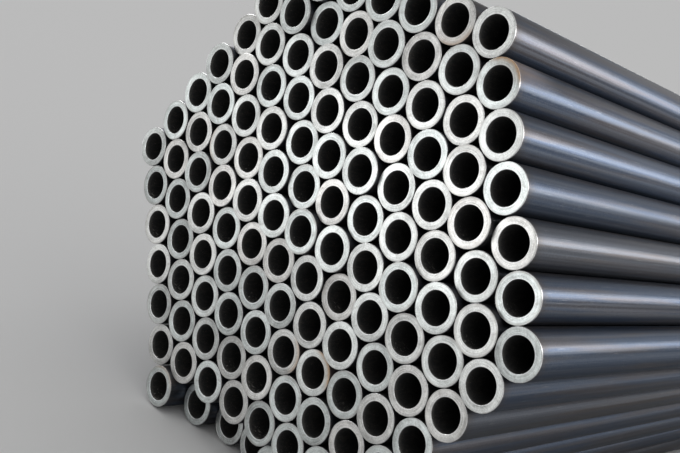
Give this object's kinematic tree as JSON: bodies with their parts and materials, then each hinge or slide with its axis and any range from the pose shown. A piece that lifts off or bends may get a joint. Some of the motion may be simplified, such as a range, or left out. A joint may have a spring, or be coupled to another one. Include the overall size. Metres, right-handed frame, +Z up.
{
  "type": "bundle of steel pipes",
  "caption": "Hexagonal bundle of long plain round steel pipes with sawn ends, held by flat steel straps and lying on one flat side.",
  "frame": {"origin": "centre of the bounding box at floor level", "axes": "+Y along the pipes, away from the neater ends that the picture shows; +X across the bundle; +Z up"},
  "size_m": [0.4222, 6.0242, 0.3725],
  "materials": {
    "pipe_steel": "cold-finished tube with thin grey scale, ends sawn bright",
    "strap_steel": "zinc-coated steel strip, dull with rubbed edges",
    "seal_steel": "zinc coated, dull"
  },
  "bodies": {
    "root": {"pipes_layer_01": "pipe_steel", "pipes_layer_02": "pipe_steel", "pipes_layer_03": "pipe_steel", "pipes_layer_04": "pipe_steel", "pipes_layer_05": "pipe_steel", "pipes_layer_06": "pipe_steel", "pipes_layer_07": "pipe_steel", "pipes_layer_08": "pipe_steel", "pipes_layer_09": "pipe_steel", "pipes_layer_10": "pipe_steel", "pipes_layer_11": "pipe_steel", "pipes_layer_12": "pipe_steel", "pipes_layer_13": "pipe_steel", "seal_1": "seal_steel", "seal_2": "seal_steel", "seal_3": "seal_steel", "seal_4": "seal_steel", "seal_5": "seal_steel", "strap_1": "strap_steel", "strap_2": "strap_steel", "strap_3": "strap_steel", "strap_4": "strap_steel", "strap_5": "strap_steel"}
  },
  "joints": []
}
